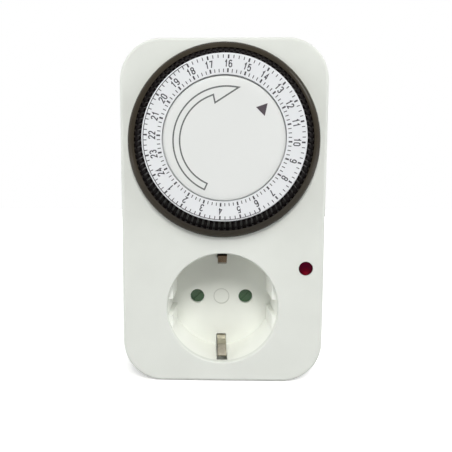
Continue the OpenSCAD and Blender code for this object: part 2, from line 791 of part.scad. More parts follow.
ear_r = motor_r + 3.4;
ear_t = 1;
ear_angles = [108, 288];

// Front plate of the can with its two ears, seen from the front
module motor_flange() {
  circle(r = motor_r - 0.8);
  for (a = ear_angles) rotate([0, 0, a]) {
    translate([motor_r / 2, -2.6]) square([ear_r - motor_r / 2, 5.2]);
    translate([ear_r, 0]) circle(r = 3);
  }
}

module motor_can() on_face() color(steel) at(can_c, 0) difference() {
  soft = 1;
  rim = plate_back - ear_t;
  union() {
    turned(concat([[0, motor_back]], arc([motor_r - soft, motor_back + soft], soft, 270, 360, 5),
                  [[motor_r, rim + 0.1], [0, rim + 0.1]]));
    translate([0, 0, rim]) linear_extrude(height = ear_t) motor_flange();
  }
  for (a = ear_angles) rotate([0, 0, a]) translate([ear_r, 0, 0])
    bar(plate_screw_r, plate_back - 2, plate_back + 1);
  at(motor_c - can_c, 0) bar(axle_r + running_play, motor_back + 2.9, plate_back + 1);
}

module motor_terminals() on_face() color(base_cream) at(can_c, 0) rotate([0, 0, terminal_dir]) difference() {
  span([motor_r - 1, -5, motor_back + 2], [motor_r + 4, 5, plate_back - 4]);
  bar(motor_r, motor_back - 1, plate_back);
  for (y = [-2.4, 2.4]) translate([0, y, 0])
    span([motor_r + 1.4, -1.2, motor_back + 5], [motor_r + 2.2, 1.2, plate_back]);
}

// ---- Movement plate ----

module movement_plate() on_face() color(base_cream) difference() {
  play = 0.6;
  translate([0, case_mid, 0])
    rounded_prism(case_w - 2 * (wall + play), case_h - 2 * (wall + play), inner_corner_r - play,
                  plate_back, plate_top);
  span([-case_w, -case_h, plate_back - 1], [case_w, boss_low[1] - 4, plate_top + 1]);
  at_case_screws() bar(case_boss_r + 0.4, plate_back - 1, plate_top + 1);
  at_plate_bosses() bar(plate_screw_r, plate_back - 1, plate_top + 1);
  at(dial_c, 0) bar(post_r - 1, plate_back - 1, plate_top + 1);
  at(idler_c, 0) bar(axle_r, plate_back - 1, plate_top + 1);
  at(motor_c, 0) bar(motor_pitch_r + 1, plate_back - 1, plate_top + 1);
  at(can_c, 0) for (a = ear_angles) rotate([0, 0, a]) translate([ear_r, 0, 0])
    bar(plate_screw_r, plate_back - 1, plate_top + 1);
  at(nose_c, 0) span([-1.8, -2.6, plate_back - 1], [1.8, 2.6, plate_top + 1]);
}

// Pan-head screw from its seat towards the front
module pan_screw(seat, length) {
  bar(plate_screw_r, seat, seat + length);
  difference() {
    bar(2 * plate_screw_r, seat - 1.3, seat);
    for (a = [0, 90]) rotate([0, 0, a]) span([-1.3, -0.25, seat - 2], [1.3, 0.25, seat - 0.6]);
  }
}

// Screws of the plate in its bosses, and of the motor's ears in the plate
module movement_screws() on_face() color(steel) {
  at_plate_bosses() pan_screw(plate_back, plate_t + 7);
  at(can_c, 0) for (a = ear_angles) rotate([0, 0, a]) translate([ear_r, 0, 0])
    pan_screw(plate_back - ear_t, ear_t + plate_t);
}

// ---- Switch ----

// Round pin across the switch at a point of its side view
module cross_pin(p, r, half) {
  translate([base_x - half, p[0], p[1]]) rotate([0, 90, 0]) cylinder(r = r, h = 2 * half);
}

module switch_base() on_face() color(base_cream) difference() {
  outer = switch_half + switch_wall;
  union() {
    span([base_x - outer, switch_low, switch_back], [base_x + outer, switch_high, plate_back]);
    span([base_x + outer - 0.5, slider_c[0] - 7, slider_c[1] - 5],
         [rail_x - 0.4, slider_c[0] + 11, slider_c[1] + 5]);
  }
  span([base_x - switch_half, switch_low + switch_wall, switch_floor],
       [base_x + switch_half, switch_high - switch_wall, plate_back + 1]);
  cross_pin(lever_pivot, switch_pin_r, outer + 1);
  cross_pin(blade_pivot, switch_pin_r, outer + 1);
  at([base_x, rivet_y], 0) bar(rivet_r, switch_back - 1, switch_floor + 1);
}

// The pins of the lever and of the contact blade
module switch_pins() on_face() color(steel) for (p = [lever_pivot, blade_pivot])
  cross_pin(p, switch_pin_r, switch_half + switch_wall);

// Lever that the segments' feet press down: nose at its end, pusher in its middle
module switch_lever() on_face() color(shutter_green) difference() {
  union() {
    translate([base_x, 0, 0]) {
      across(lever_w) polygon([[lever_pivot[0], bar_top], [lever_pivot[0], bar_top - lever_t],
                               [nose_c[1] + 1.4, bar_top - lever_t], [nose_c[1] + 1.4, bar_top]]);
      across(lever_w) polygon([[push_y - 1, bar_top - 0.2], [push_y - 0.6, push_low],
                               [push_y + 0.6, push_low], [push_y + 1, bar_top - 0.2]]);
      across(1.6) polygon(concat([[nose_c[1] - 1.4, bar_top - 0.2]],
                                 arc([nose_c[1], nose_top - 1], 1, 180, 0, 8),
                                 [[nose_c[1] + 1.4, bar_top - 0.2]]));
    }
    cross_pin(lever_pivot, switch_pin_r + 0.7, lever_w / 2);
  }
  cross_pin(lever_pivot, switch_pin_r + running_play, lever_w);
}

module moving_contact() on_face() color(copper) difference() {
  union() {
    translate([base_x - 1.3, 0, 0])
      span([0, blade_pivot[0], blade_top - blade_t], [2.6, rivet_y + 1.6, blade_top]);
    at([base_x, rivet_y], 0) bar(1.4, blade_top - blade_t - rivet_h, blade_top);
    cross_pin(blade_pivot, switch_pin_r + 0.6, 1.5);
  }
  cross_pin(blade_pivot, switch_pin_r + running_play, 3);
}

// Spring that lifts the contact blade off the fixed contact
module contact_spring() on_face() color(steel) at([base_x, spring_y], 0) {
  space = blade_top - blade_t - 0.05 - switch_floor;
  coil(1, 0.35, (space - 0.35) / 4, 4, switch_floor);
}

module fixed_contact() on_face() color(copper) {
  span([base_x - 1.5, rivet_y - 3, switch_floor],
       [base_x + 1.5, switch_high - switch_wall, switch_floor + 0.8]);
  at([base_x, rivet_y], 0) {
    bar(1.4, switch_floor + 0.8, fixed_top);
    bar(rivet_r, switch_back - 0.6, switch_floor);
  }
}

// Button and flange of the slide that switches the socket on for good
module override_slider() on_face() color(shell_grey) {
  inner = side_x - wall - 0.1;
  half = slider_len / 2;
  span([inner - 0.5, slider_c[0] - half, slider_c[1] - slider_w / 2],
       [side_x + slider_proud - 0.5, slider_c[0] + half, slider_c[1] + slider_w / 2]);
  for (i = [-2:2]) translate([0, slider_c[0] + i * slider_len / 6, slider_c[1]])
    span([side_x + slider_proud - 1, -0.4, -slider_w / 2], [side_x + slider_proud, 0.4, slider_w / 2]);
  reach = half + slider_travel + 0.8;
  span([inner - 1, slider_c[0] - reach, slider_c[1] - slider_w / 2 - 1.6],
       [inner, slider_c[0] + reach, slider_c[1] + slider_w / 2 + 1.6]);
}

module bypass_bridge() on_face() color(copper) {
  inner = side_x - wall - 1.1;
  span([inner - 0.4, slider_c[0] - 3, slider_c[1] - 3], [inner, slider_c[0] + 3, slider_c[1] + 3]);
}

module bypass_rails() on_face() color(copper) for (s = [-1, 1])
  span([rail_x - 0.4, slider_c[0] - 4, slider_c[1] + s * 2.2 - 0.8],
       [rail_x + 0.4, slider_c[0] + 8, slider_c[1] + s * 2.2 + 0.8]);

// ---- Lamp ----

module indicator_lens() on_face() color(lamp_red) at(lens_c, 0) difference() {
  turned([[0, 0.35], [lens_r * 0.6, 0.25], [lens_r - 0.3, 0], [lens_r, -0.3], [lens_r, -front_wall],
          [lens_r + 1, -front_wall], [lens_r + 1, -front_wall - 1], [lens_r + 0.5, -front_wall - 1],
          [lens_r + 0.5, holder_back], [0, holder_back]]);
  bar(lamp_r + 0.1, holder_back - 1, -1.4);
}

module neon_lamp() on_face() color([0.9, 0.85, 0.8]) at(lens_c, 0)
  turned([[0, -2], [1.2, -2.4], [lamp_r - 0.1, -3.4], [lamp_r, -4], [lamp_r, lamp_back], [0, lamp_back]]);

module lamp_resistor() on_face() color([0.75, 0.65, 0.5]) at(lens_c, 0) {
  bar(1.2, resistor_back, lamp_back - 1.5);
  bar(0.35, lamp_back - 1.5, lamp_back);
}

// ---- Wires ----

// Route with its corners rounded, for a wire that keeps its bends
function corner(a, p, b) =
  let (r = min(wire_bend, norm(a - p) / 2, norm(b - p) / 2), u = p + r * unit(a - p), v = p + r * unit(b - p))
  [for (t = [0:0.25:1]) (1 - t) * (1 - t) * u + 2 * t * (1 - t) * p + t * t * v];
function route(p) = concat([p[0]], [for (i = [1:len(p) - 2]) each corner(p[i - 1], p[i], p[i + 1])],
                           [p[len(p) - 1]]);

// Vector v turned as direction a turns into direction b
function carried(v, a, b) =
  let (c = cross(a, b), s = norm(c), k = s < 1e-6 ? [0, 0, 1] : c / s, w = s < 1e-6 ? 0 : atan2(s, a * b))
  v * cos(w) + cross(k, v) * sin(w) + k * (k * v) * (1 - cos(w));

// Insulated wire swept along its route
module wire(p, sides = 10) {
  c = route(p);
  n = len(c) - 1;
  legs = [for (i = [1:n]) unit(c[i] - c[i - 1])];
  dir = [for (i = [0:n]) unit(legs[max(i - 1, 0)] + legs[min(i, n - 1)])];
  side = [for (i = 0, v = unit(cross(dir[0], [0.3, 0.5, 0.8])); i <= n;
               v = i < n ? carried(v, dir[i], dir[i + 1]) : v, i = i + 1) v];
  points = [for (i = [0:n], j = [0:sides - 1]) let (w = j * 360 / sides)
    c[i] + wire_d / 2 * (cos(w) * side[i] + sin(w) * cross(dir[i], side[i]))];
  walls = [for (i = [0:n - 1], j = [0:sides - 1]) let (k = (j + 1) % sides)
    [i * sides + j, (i + 1) * sides + j, (i + 1) * sides + k, i * sides + k]];
  start = [for (j = [0:sides - 1]) j];
  end = [for (j = [sides - 1:-1:0]) n * sides + j];
  polyhedron(points, concat([start, end], walls));
}

// Rear ends of the motor's two terminals
function terminal(side) =
  let (d = [cos(terminal_dir), sin(terminal_dir)], p = can_c + (motor_r + 1.8) * d + side * 2.4 * left_of(d))
  [p[0], p[1], motor_back + 2];

// From the live pin to the switch, and to the motor
module line_wires() {
  low = live_root - 2.5;
  deep = wire_low - 4;
  y = base_half_h + 4 * wire_d / 2;
  pin_end = [base_x - switch_half - switch_wall, blade_pivot[0], blade_pivot[1]];
  stand = pin_end[0] - wire_d / 2 - move_gap;
  wire([[pin_x, root_flat, low], [pin_x, y, low], [pin_x, y, deep], [pin_x, dial_up - 18, deep],
        [stand, pin_end[1], deep], [stand, pin_end[1], pin_end[2]], pin_end]);
  t = terminal(1);
  x = pin_x - 3;
  h = wire_low - 2;
  wire([[pin_x, root_flat, low - 2.2], [pin_x, root_flat + 3, low - 2.2], [x, y, low - 2.2], [x, y, h],
        [x, dial_up - 18, h], [t[0], t[1], h], t]);
}

// From the live contact sleeve to the switch, and to the lamp's resistor
module load_wires() {
  y = base_half_h + wire_d / 2 + move_gap;
  aside = wire_d / 2 + 0.1;
  wire([[pin_x + aside, y, sleeve_back], [pin_x + aside, y, wire_low], [base_x, lens_c[1], wire_low],
        [base_x, rivet_y, wire_low], [base_x, rivet_y, switch_back - 0.6]]);
  h = wire_low + 2.5;
  wire([[pin_x - aside, y, sleeve_back], [pin_x - aside, y, h], [lens_c[0], lens_c[1], h],
        [lens_c[0], lens_c[1], resistor_back]]);
}

// From the neutral contact sleeve to the motor, and to the lamp
module neutral_wires() {
  y = base_half_h + wire_d / 2 + move_gap;
  h = wire_low - 2;
  t = terminal(-1);
  wire([[-pin_x, y, sleeve_back], [-pin_x, y, h], [t[0], t[1], h], t]);
  p = lens_c - [2.4, 1.5];
  wire([[-pin_x, -y, sleeve_back], [-pin_x, -y, h], [p[0], -y, h], [p[0], p[1], wire_low + 5.5],
        [p[0], p[1], holder_back]]);
}

module internal_wires() on_face() color(copper) {
  line_wires();
  load_wires();
  neutral_wires();
}

front_cover();
rear_cover();
case_screws();
socket_well();
shutter();
shutter_spring();
contact_base();
contact_sleeves();
plug_pins();
earth_strap();
dial_carrier();
time_scale();
centre_cap();
dial_post();
clutch_washer();
drive_gear();
idler_gear();
idler_pin();
motor_pinion();
motor_can();
motor_terminals();
movement_plate();
movement_screws();
switch_base();
switch_lever();
moving_contact();
switch_pins();
contact_spring();
fixed_contact();
override_slider();
bypass_bridge();
bypass_rails();
indicator_lens();
neon_lamp();
lamp_resistor();
internal_wires();
segment_group(1);  // segments_01
segment_group(2);  // segments_02
segment_group(3);  // segments_03
segment_group(4);  // segments_04
segment_group(5);  // segments_05
segment_group(6);  // segments_06
segment_group(7);  // segments_07
segment_group(8);  // segments_08
segment_group(9);  // segments_09
segment_group(10);  // segments_10
segment_group(11);  // segments_11
segment_group(12);  // segments_12
segment_group(13);  // segments_13
segment_group(14);  // segments_14
segment_group(15);  // segments_15
segment_group(16);  // segments_16
segment_group(17);  // segments_17
segment_group(18);  // segments_18
segment_group(19);  // segments_19
segment_group(20);  // segments_20
segment_group(21);  // segments_21
segment_group(22);  // segments_22
segment_group(23);  // segments_23
segment_group(24);  // segments_24
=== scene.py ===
"""Plug-in timer switch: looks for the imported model, in its frame (metres, +Z up, front to -Y)."""
import json
import math

import bpy
from mathutils import Matrix, Vector


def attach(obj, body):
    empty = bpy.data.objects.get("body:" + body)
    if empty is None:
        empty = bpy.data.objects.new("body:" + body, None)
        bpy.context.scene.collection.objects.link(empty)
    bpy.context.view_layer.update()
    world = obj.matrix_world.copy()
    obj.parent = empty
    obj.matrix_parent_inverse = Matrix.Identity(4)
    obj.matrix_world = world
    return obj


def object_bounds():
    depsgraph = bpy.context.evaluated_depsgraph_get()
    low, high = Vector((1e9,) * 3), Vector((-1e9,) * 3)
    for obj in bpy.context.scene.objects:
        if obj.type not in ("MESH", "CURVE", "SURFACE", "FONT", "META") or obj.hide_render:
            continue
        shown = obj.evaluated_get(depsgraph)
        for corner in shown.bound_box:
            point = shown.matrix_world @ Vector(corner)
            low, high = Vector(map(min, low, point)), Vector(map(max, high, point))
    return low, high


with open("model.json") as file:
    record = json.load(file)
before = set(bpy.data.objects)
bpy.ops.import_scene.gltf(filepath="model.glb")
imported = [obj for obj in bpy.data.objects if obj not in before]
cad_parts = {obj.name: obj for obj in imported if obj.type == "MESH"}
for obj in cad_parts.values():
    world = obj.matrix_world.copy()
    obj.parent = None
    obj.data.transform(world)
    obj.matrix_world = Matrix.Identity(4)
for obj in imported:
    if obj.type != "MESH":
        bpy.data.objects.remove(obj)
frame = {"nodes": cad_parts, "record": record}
cad_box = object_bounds()
nodes = frame["nodes"]
scene = bpy.context.scene

# Places in the face frame, in millimetres: x to the right, y up, h in front of the face
FACE_Y = -52.5
DIAL = (0.0, 57.4)
SCALE_TOP = 7.2
CAP_TOP = 7.0
HOUR_ZERO = -152.8
HOUR_TURN = 15
# Thickness of a printed layer
PRINT = 0.02


def at(x, y, h):
    """A point of the face frame in the row frame, in metres."""
    return Vector((x, FACE_Y - h, y)) / 1000


def polar(r, angle):
    a = math.radians(angle)
    return DIAL[0] + r * math.cos(a), DIAL[1] + r * math.sin(a)


def srgb(r, g, b):
    """A colour written as it shows, 0 to 255, as linear values."""
    def one(v):
        v /= 255
        return v / 12.92 if v <= 0.04045 else ((v + 0.055) / 1.055) ** 2.4
    return one(r), one(g), one(b), 1.0


# ---- Materials ----

class Nodes:
    """A material's node tree with short helpers."""

    def __init__(self, name):
        self.mat = bpy.data.materials.new(name)
        self.mat.use_nodes = True
        self.tree = self.mat.node_tree
        self.bsdf = self.tree.nodes["Principled BSDF"]
        coord = self.tree.nodes.new("ShaderNodeTexCoord")
        self.place = coord.outputs["Object"]

    def add(self, kind, **inputs):
        n = self.tree.nodes.new(kind)
        for k, v in inputs.items():
            self.put(n.inputs[k.replace("_", " ")], v)
        return n

    def put(self, socket, value):
        if isinstance(value, bpy.types.NodeSocket):
            self.tree.links.new(value, socket)
        else:
            socket.default_value = value

    def set(self, **inputs):
        for k, v in inputs.items():
            self.put(self.bsdf.inputs[k.replace("_", " ")], v)

    def noise(self, size_mm, detail=2.0, rough=0.5, stretch=(1, 1, 1), distortion=0.0):
        m = self.add("ShaderNodeMapping", Vector=self.place)
        m.inputs["Scale"].default_value = stretch
        n = self.add("ShaderNodeTexNoise", Vector=m.outputs[0], Scale=1000 / size_mm,
                     Detail=detail, Roughness=rough, Distortion=distortion)
        return n.outputs["Fac"]

    def ramp(self, fac, *stops):
        n = self.add("ShaderNodeValToRGB", Fac=fac)
        e = n.color_ramp.elements
        while len(e) < len(stops):
            e.new(0.5)
        for item, (pos, colour) in zip(e, stops):
            item.position = pos
            item.color = colour
        return n.outputs["Color"]

    def spread(self, fac, low, high):
        n = self.add("ShaderNodeMapRange", Value=fac)
        n.inputs["To Min"].default_value = low
        n.inputs["To Max"].default_value = high
        return n.outputs[0]

    def math(self, op, a, b):
        n = self.tree.nodes.new("ShaderNodeMath")
        n.operation = op
        self.put(n.inputs[0], a)
        self.put(n.inputs[1], b)
        return n.outputs[0]

    def bump(self, height, distance_mm, normal=None):
        n = self.add("ShaderNodeBump", Height=height, Distance=distance_mm / 1000)
        if normal is not None:
            self.put(n.inputs["Normal"], normal)
        return n.outputs["Normal"]


def shade(colour, k):
    return tuple(c * k for c in colour[:3]) + (1.0,)


# Size of the spark-eroded grain of moulded plastic, and of its shallow sink waves
GRAIN_MM = 0.22
SAG_MM, SAG_DEPTH = 14, 0.02


def sag(n):
    """The shallow waves of a moulded face, as a normal."""
    return n.bump(n.noise(SAG_MM, detail=1), SAG_DEPTH)


def plastic(name, colour, rough=0.4, vary=0.03, grain=0.012, spec=0.5, coat=0.0, mottle_mm=18):
    """Moulded plastic: faint mottling, spark-eroded grain and uneven gloss."""
    n = Nodes(name)
    cloud = n.noise(mottle_mm, detail=3)
    n.set(Base_Color=n.ramp(cloud, (0.3, shade(colour, 1 - vary)), (0.7, shade(colour, 1 + vary))))
    smear = n.noise(mottle_mm / 3, detail=4, rough=0.6)
    n.set(Roughness=n.spread(smear, rough * 0.85, rough * 1.15))
    n.set(Normal=n.bump(n.noise(GRAIN_MM), grain, normal=sag(n)))
    n.bsdf.inputs["Specular IOR Level"].default_value = spec
    if coat:
        n.bsdf.inputs["Coat Weight"].default_value = coat
        n.bsdf.inputs["Coat Roughness"].default_value = 0.08
    return n.mat


def metal(name, colour, rough=0.3, tarnish=0.25, scratch=(1, 1, 12)):
    """Plated or drawn metal: stains, rolling marks and fine scratches."""
    n = Nodes(name)
    stain = n.noise(2.2, detail=5, rough=0.6, distortion=0.4)
    n.set(Base_Color=n.ramp(stain, (0.3, shade(colour, 1 - tarnish)), (0.62, colour)))
    marks = n.noise(0.5, detail=3, stretch=scratch)
    n.set(Metallic=1.0, Roughness=n.spread(marks, rough * 0.7, rough * 1.4))
    n.set(Normal=n.bump(marks, 0.01))
    return n.mat


def printed(name, colour, rough=0.5):
    """Screen-printed ink with a slightly uneven layer."""
    n = Nodes(name)
    layer = n.noise(0.35, detail=3)
    n.set(Base_Color=n.ramp(layer, (0.25, shade(colour, 0.85)), (0.75, shade(colour, 1.2))))
    n.set(Roughness=n.spread(layer, rough * 0.85, rough * 1.15))
    return n.mat


def distance_from(n, x, z):
    """Distance from an axis along Y through x, z, in millimetres, as a socket."""
    flat = n.add("ShaderNodeMapping", Vector=n.place)
    flat.inputs["Location"].default_value = (-x, 0, -z)
    flat.inputs["Scale"].default_value = (1000, 0, 1000)
    away = n.tree.nodes.new("ShaderNodeVectorMath")
    away.operation = "LENGTH"
    n.put(away.inputs[0], flat.outputs[0])
    return away.outputs["Value"]


def blend_colour(n, fac, a, b):
    mix = n.tree.nodes.new("ShaderNodeMix")
    mix.data_type = "RGBA"
    n.put(mix.inputs["Factor"], fac)
    n.put(mix.inputs["A"], a)
    n.put(mix.inputs["B"], b)
    return mix.outputs["Result"]


# Where the dial's slotted ring ends, in millimetres, and how fast its painted shade, almost black,
# gives way to brown
SLOTS_R, SLOT_SHADE_FADE = 29.4, 2.5
# Middle and half width of the groove in the recess floor, and how fast its painted shade ends
GROOVE_R, GROOVE_HALF, GROOVE_SHADE_FADE = 2.95, 0.12, 12.0
# Heights, in metres, between which the clips' metal turns from bright to a painted shade of brown
CLIP_SHADE_FROM, CLIP_SHADE_TO = 0.002, 0.014


def dial_brown():
    """Satin brown dial plastic, with painted shade, almost black, in the slotted ring by the scale.
    """
    n = Nodes("dial_plastic")
    brown = srgb(43, 36, 22)
    cloud = n.ramp(n.noise(9, detail=3), (0.3, shade(brown, 0.88)), (0.7, shade(brown, 1.12)))
    # Painted shade: the carrier turns almost black inside the slotted ring, between the segments
    past = n.math("MULTIPLY", n.math("SUBTRACT", distance_from(n, *DIAL), SLOTS_R), SLOT_SHADE_FADE)
    n.set(Base_Color=blend_colour(n, past, srgb(15, 11, 11), cloud))
    n.set(Roughness=n.spread(n.noise(3, detail=4, rough=0.6), 0.2, 0.26))
    n.bsdf.inputs["Specular IOR Level"].default_value = 0.26
    n.set(Normal=sag(n))
    return n.mat


def well_white():
    """Plastic of the plug recess, with painted shade in the ring groove of its floor."""
    n = Nodes("well_plastic")
    white = srgb(238, 240, 233)
    cloud = n.ramp(n.noise(18, detail=3), (0.3, shade(white, 0.97)), (0.7, shade(white, 1.03)))
    # Painted shade: darker in the ring groove of the floor
    off = n.math("ABSOLUTE", n.math("SUBTRACT", distance_from(n, 0, 0), GROOVE_R), 0)
    clear = n.math("MULTIPLY", n.math("SUBTRACT", off, GROOVE_HALF), GROOVE_SHADE_FADE)
    n.set(Base_Color=blend_colour(n, clear, srgb(212, 214, 206), cloud))
    n.set(Roughness=n.spread(n.noise(6, detail=4, rough=0.6), 0.29, 0.39))
    n.set(Normal=n.bump(n.noise(GRAIN_MM), 0.006, normal=sag(n)))
    return n.mat


def earth_metal():
    """Nickelled strip of the earth clips; painted shade makes the upper clip dark brown."""
    mat = metal("earth_nickel", srgb(232, 224, 204), rough=0.24, tarnish=0.3)
    tree = mat.node_tree
    colour = tree.nodes["Principled BSDF"].inputs["Base Color"]
    place = tree.nodes.new("ShaderNodeTexCoord")
    split = tree.nodes.new("ShaderNodeSeparateXYZ")
    tree.links.new(place.outputs["Object"], split.inputs[0])
    step = tree.nodes.new("ShaderNodeMapRange")
    step.inputs["From Min"].default_value = CLIP_SHADE_FROM
    step.inputs["From Max"].default_value = CLIP_SHADE_TO
    tree.links.new(split.outputs["Z"], step.inputs["Value"])
    # Painted shade: the metal turns dark brown higher up, where the upper clip sits
    blend = tree.nodes.new("ShaderNodeMix")
    blend.data_type = "RGBA"
    tree.links.new(step.outputs[0], blend.inputs["Factor"])
    tree.links.new(colour.links[0].from_socket, blend.inputs["A"])
    blend.inputs["B"].default_value = srgb(98, 80, 66)
    tree.links.new(blend.outputs["Result"], colour)
    return mat


def lens(node):
    """Deep red plastic with painted light: dark rim, brighter low down, where the light from above
    leaves it.
    """
    n = Nodes("lens_red")
    corners = [Vector(c) for c in node.bound_box]
    low = (sum(corners, Vector()) / 8 + Vector((0, 0, -0.0019))) * 1000
    # Painted light: brighter towards a point below the middle, dark at the rim
    away = n.math("MULTIPLY", distance_from(n, low.x, low.z), 0.33)
    cloud = n.math("ADD", away, n.math("MULTIPLY", n.noise(0.9), 0.25))
    n.set(Base_Color=n.ramp(cloud, (0.2, srgb(124, 12, 32)), (0.55, srgb(84, 0, 18)),
                            (1.0, srgb(62, 0, 22))))
    n.set(Roughness=n.spread(n.noise(3), 0.16, 0.26))
    n.bsdf.inputs["Specular IOR Level"].default_value = 0.03
    n.set(Normal=n.bump(n.noise(0.9), 0.01))
    return n.mat


looks = {
    "shell": plastic("shell_plastic", srgb(219, 222, 215), spec=0.45),
    "well": well_white(),
    "slider": plastic("slider_plastic", srgb(206, 208, 202)),
    "cap": plastic("cap_plastic", srgb(222, 224, 221), rough=0.42, vary=0.01, grain=0.004,
                   spec=0.35),
    "scale": plastic("scale_plastic", srgb(224, 226, 227), rough=0.42, vary=0.012, grain=0.004,
                     spec=0.35),
    "dial": dial_brown(),
    "segment": plastic("segment_plastic", srgb(13, 9, 10), vary=0.12, grain=0.006, spec=0.02,
                       mottle_mm=6),
    "green": plastic("shutter_plastic", srgb(70, 98, 70), rough=0.45, vary=0.08, grain=0.01,
                     mottle_mm=4),
    "base": plastic("base_plastic", srgb(226, 220, 200), rough=0.5),
    "gear": plastic("gear_plastic", srgb(236, 235, 226), rough=0.45),
    "wire": plastic("wire_insulation", srgb(70, 84, 130), vary=0.06),
    "resistor": plastic("resistor_lacquer", srgb(196, 170, 128), rough=0.35, vary=0.08),
    "pins": metal("pin_nickel", srgb(206, 202, 192), rough=0.22),
    "steel": metal("zinc_steel", srgb(190, 191, 190), rough=0.32),
    "brass": metal("contact_brass", srgb(206, 176, 112), rough=0.3),
    "earth_brass": earth_metal(),
    "copper": metal("contact_copper", srgb(206, 140, 104), rough=0.3),
    "lens": lens(nodes["indicator_lens"]),
    "lamp_glass": plastic("lamp_glass", srgb(236, 226, 210), rough=0.08, vary=0.02, grain=0.002,
                          coat=0.5),
}
for part in frame["record"]["subparts"]:
    mesh = nodes[part["node"]].data
    mesh.materials.clear()
    mesh.materials.append(looks[part["material_slot"]])

ink = printed("dial_ink", srgb(62, 60, 64))
line_ink = printed("arrow_ink", srgb(96, 99, 97))
mark_ink = printed("pointer_ink", srgb(66, 58, 63))

# ---- Print ----


def plate(name, outlines, h, material, body):
    """Flat printed shapes given by closed outlines of the face frame, as thin solids at depth h."""
    verts, faces = [], []
    for points in outlines:
        k, n = len(verts), len(points)
        verts += [at(x, y, h + PRINT) for x, y in points] + [at(x, y, h) for x, y in points]
        faces.append([k + i for i in range(n)])
        faces.append([k + n + i for i in reversed(range(n))])
        faces += [[k + i, k + n + i, k + n + (i + 1) % n, k + (i + 1) % n] for i in range(n)]
    return solid(name, verts, faces, material, body)


def solid(name, verts, faces, material, body):
    mesh = bpy.data.meshes.new(name)
    mesh.from_pydata(verts, [], faces)
    mesh.materials.append(material)
    mesh.validate()
    obj = bpy.data.objects.new(name, mesh)
    scene.collection.objects.link(obj)
    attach(obj, body)
    return obj


def tick(angle, r0, r1, width):
    """A radial bar between two radii of the dial."""
    a = math.radians(angle)
    out, side = (math.cos(a), math.sin(a)), (-math.sin(a), math.cos(a))
    return [tuple(DIAL[i] + r * out[i] + s * width / 2 * side[i] for i in (0, 1))
            for r, s in ((r0, 1), (r0, -1), (r1, -1), (r1, 1))]


def arc_band(name, r, width, first, last, h, material, body):
    """A printed line along a circle, as one thin solid."""
    n = max(8, int(abs(last - first) / 2))
    angles = [first + (last - first) * i / n for i in range(n + 1)]
    verts, faces = [], []
    for a in angles:
        for radius, level in ((r - width / 2, h + PRINT), (r + width / 2, h + PRINT),
                              (r + width / 2, h), (r - width / 2, h)):
            verts.append(at(*polar(radius, a), level))
    for i in range(n):
        for j in range(4):
            k = (j + 1) % 4
            faces.append([4 * i + j, 4 * i + k, 4 * i + 4 + k, 4 * i + 4 + j])
    faces += [[3, 2, 1, 0], [4 * n, 4 * n + 1, 4 * n + 2, 4 * n + 3]]
    return solid(name, verts, faces, material, body)


def hour_angle(hour):
    return HOUR_ZERO + HOUR_TURN * hour


# Where the ticks begin and end, and their widths; pairs are for the hours and for the quarters
OUTER_FROM, OUTER_TO = (24.6, 24.75), 25.75
INNER_FROM, INNER_TO = 20.4, (21.6, 21.45)
TICK_W = (0.52, 0.27)
NIGHT_R, NIGHT_W = 25.84, 0.24

bars = []
for q in range(96):
    a, kind = hour_angle(q / 4), 0 if q % 4 == 0 else 1
    bars.append(tick(a, OUTER_FROM[kind], OUTER_TO, TICK_W[kind]))
    bars.append(tick(a, INNER_FROM, INNER_TO[kind], TICK_W[kind]))
plate("dial_ticks", bars, SCALE_TOP, ink, "dial")
arc_band("dial_night_line", NIGHT_R, NIGHT_W, hour_angle(-6), hour_angle(6), SCALE_TOP, ink, "dial")

# Strokes of the digits, on a cell one wide and two high
BOWL = [(0.95, 1.72), (0.72, 2), (0.28, 2), (0, 1.65), (0, 0.3), (0.28, 0), (0.72, 0), (1, 0.3),
        (1, 0.88), (0.72, 1.16), (0.3, 1.16), (0, 0.85)]
STROKES = {
    "0": [[(0.3, 0), (0.7, 0), (1, 0.35), (1, 1.65), (0.7, 2), (0.3, 2), (0, 1.65), (0, 0.35),
           (0.3, 0)]],
    "1": [[(0.15, 1.5), (0.6, 1.98), (0.6, 0)]],
    "2": [[(0, 1.5), (0.08, 1.82), (0.32, 2), (0.7, 2), (0.98, 1.75), (0.98, 1.3), (0, 0.02),
           (1, 0.02)]],
    "3": [[(0, 1.68), (0.26, 2), (0.74, 2), (1, 1.75), (1, 1.3), (0.72, 1.06), (0.4, 1.06)],
          [(0.72, 1.06), (1, 0.78), (1, 0.28), (0.74, 0), (0.26, 0), (0, 0.32)]],
    "4": [[(0.74, 0), (0.74, 1.95), (0.02, 0.55), (1.05, 0.55)]],
    "5": [[(0.95, 1.98), (0.14, 1.98), (0.06, 1.02), (0.34, 1.26), (0.7, 1.26), (1, 0.95),
           (1, 0.32), (0.7, 0), (0.26, 0), (0, 0.28)]],
    "6": [BOWL],
    "7": [[(0, 1.98), (1, 1.98), (0.36, 0)]],
    "8": [[(0.28, 1.06), (0.02, 1.32), (0.02, 1.74), (0.28, 2), (0.72, 2), (0.98, 1.74),
           (0.98, 1.32), (0.72, 1.06), (1, 0.78), (1, 0.27), (0.72, 0), (0.28, 0), (0, 0.27),
           (0, 0.78), (0.28, 1.06), (0.72, 1.06)]],
    "9": [[(1 - x, 2 - y) for x, y in BOWL]],
}


# Keeps the mitre of a sharp corner short
SHARPEST = 0.35


